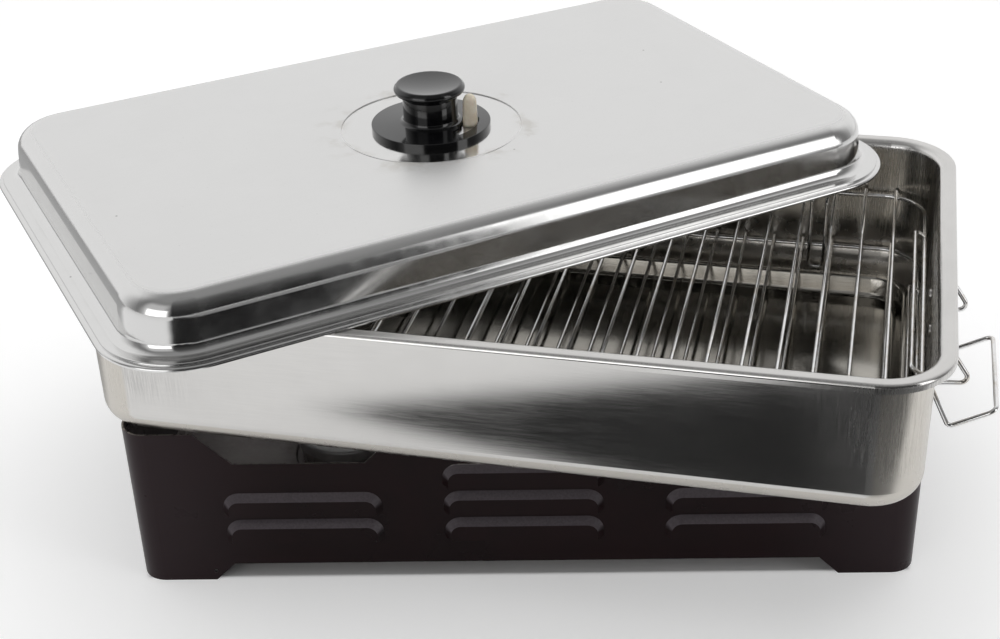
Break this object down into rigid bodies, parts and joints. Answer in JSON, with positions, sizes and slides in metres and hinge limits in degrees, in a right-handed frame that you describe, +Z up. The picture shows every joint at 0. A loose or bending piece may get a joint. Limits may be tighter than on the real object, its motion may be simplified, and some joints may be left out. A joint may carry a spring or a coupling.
{
  "type": "stovetop smoker box",
  "caption": "Tabletop smoker with a louvred stand, a rectangular pan with wire racks and a drip tray, and a loose lid with a vented knob lying askew.",
  "frame": {"origin": "on the table under the middle of the stand", "axes": "+X along the stand's front from its left end to its right end, +Y towards its back, +Z up"},
  "size_m": [0.5313, 0.4355, 0.219],
  "materials": {
    "stand_enamel": "semi-gloss",
    "plate_steel": "satin",
    "burner_steel": "polished",
    "gauze_steel": "woven",
    "wool": "matte",
    "pan_steel": "satin",
    "wire_chrome": "polished",
    "strap_steel": "satin",
    "tray_steel": "polished",
    "lid_steel": "satin",
    "knob_black": "gloss",
    "brass": "plain",
    "lever_cream": "satin"
  },
  "bodies": {
    "stand": {"stand_shell": "stand_enamel", "base_plate": "plate_steel"},
    "burner_left": {"burner_cup_left": "burner_steel", "burner_ring_left": "burner_steel", "burner_gauze_left": "gauze_steel", "burner_wool_left": "wool"},
    "burner_right": {"burner_cup_right": "burner_steel", "burner_ring_right": "burner_steel", "burner_gauze_right": "gauze_steel", "burner_wool_right": "wool"},
    "pan": {"pan_shell": "pan_steel", "handle_strap_left": "strap_steel", "strap_rivets_left": "strap_steel", "handle_strap_right": "strap_steel", "strap_rivets_right": "strap_steel"},
    "left_handle": {"handle_left": "wire_chrome"},
    "right_handle": {"handle_right": "wire_chrome"},
    "tray": {"drip_tray": "tray_steel"},
    "rack_below": {"lower_rack_frame": "wire_chrome", "lower_rack_wires": "wire_chrome"},
    "rack_above": {"upper_rack_frame": "wire_chrome", "upper_rack_wires": "wire_chrome", "upper_rack_legs": "wire_chrome"},
    "lid": {"lid_shell": "lid_steel", "knob_base": "knob_black", "knob_grip": "knob_black", "knob_insert": "brass", "knob_screw": "strap_steel", "knob_washer": "strap_steel"},
    "vent": {"vent_shutter": "tray_steel", "vent_lever": "lever_cream"}
  },
  "joints": [
    {"name": "pan_lift", "type": "slide", "parent": "stand", "child": "pan", "axis": [0, 0, 1], "range_m": [0, 0.12]},
    {"name": "lid_lift", "type": "slide", "parent": "pan", "child": "lid", "axis": [0, 0, 1], "range_m": [0, 0.15]},
    {"name": "upper_rack_lift", "type": "slide", "parent": "pan", "child": "rack_above", "axis": [0, 0, 1], "range_m": [0, 0.025]},
    {"name": "lower_rack_lift", "type": "slide", "parent": "pan", "child": "rack_below", "axis": [0, 0, 1], "range_m": [0, 0.022]},
    {"name": "drip_tray_lift", "type": "slide", "parent": "pan", "child": "tray", "axis": [0, 0, 1], "range_m": [0, 0.0198]},
    {"name": "handle_right_swing", "type": "hinge", "parent": "pan", "child": "right_handle", "pos_m": [0.20723, -0.08064, 0.1403], "axis": [-0.2065, -0.9784, 0], "range_deg": [0, 120]},
    {"name": "handle_left_swing", "type": "hinge", "parent": "pan", "child": "left_handle", "pos_m": [-0.19203, 0.00364, 0.1403], "axis": [0.2065, 0.9784, 0], "range_deg": [0, 108]},
    {"name": "vent_turn", "type": "hinge", "parent": "lid", "child": "vent", "pos_m": [-0.04697, 0.01453, 0.1952], "axis": [0, 0, 1], "range_deg": [-34, 0]},
    {"name": "burner_left_lift", "type": "slide", "parent": "stand", "child": "burner_left", "axis": [0, 0, 1], "range_m": [0, 0.055]},
    {"name": "burner_right_lift", "type": "slide", "parent": "stand", "child": "burner_right", "axis": [0, 0, 1], "range_m": [0, 0.055]}
  ],
  "couplings": [
    {"joint": "drip_tray_lift", "follows": "lower_rack_lift", "ratio": 0.9}
  ]
}
